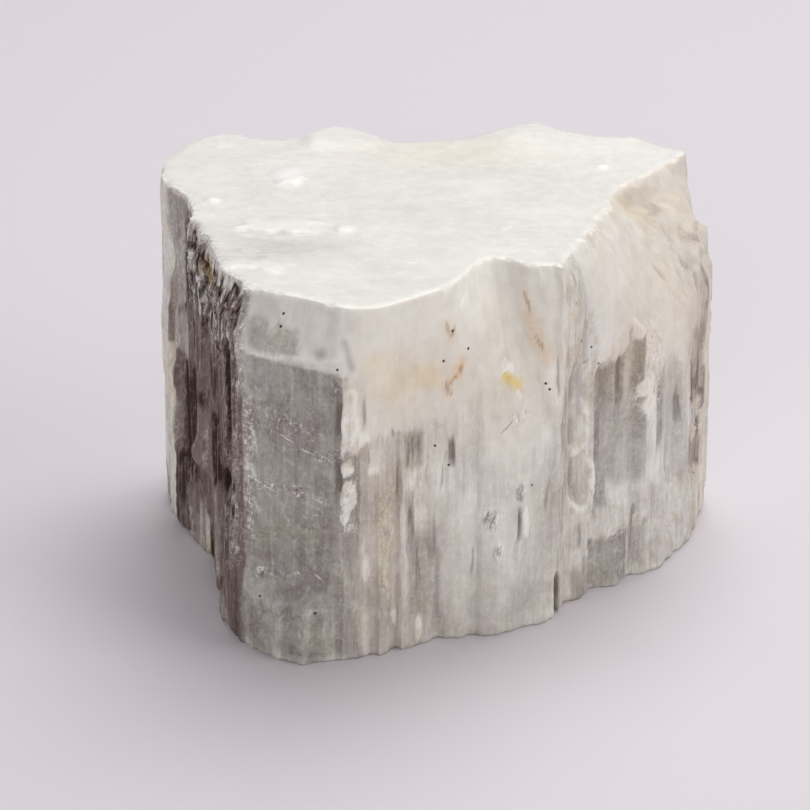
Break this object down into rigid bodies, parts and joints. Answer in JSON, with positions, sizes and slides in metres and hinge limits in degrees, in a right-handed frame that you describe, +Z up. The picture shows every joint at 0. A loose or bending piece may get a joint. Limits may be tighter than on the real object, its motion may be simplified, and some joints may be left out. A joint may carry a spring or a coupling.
{
  "type": "selenite crystal",
  "caption": "Rough block of fibrous white selenite: stepped walls of upright blades, a broken sloping rim, an uneven top and a flat sawn foot to rest on.",
  "frame": {"origin": "middle of the footprint's bounding box, on the flat foot", "axes": "+Z up along the fibres, +X to the right along the width, -Y towards the front, where the grey cleavage face is"},
  "size_m": [0.0822, 0.0698, 0.0557],
  "materials": {
    "selenite": "satin"
  },
  "bodies": {
    "root": {"selenite_block": "selenite"}
  },
  "joints": []
}
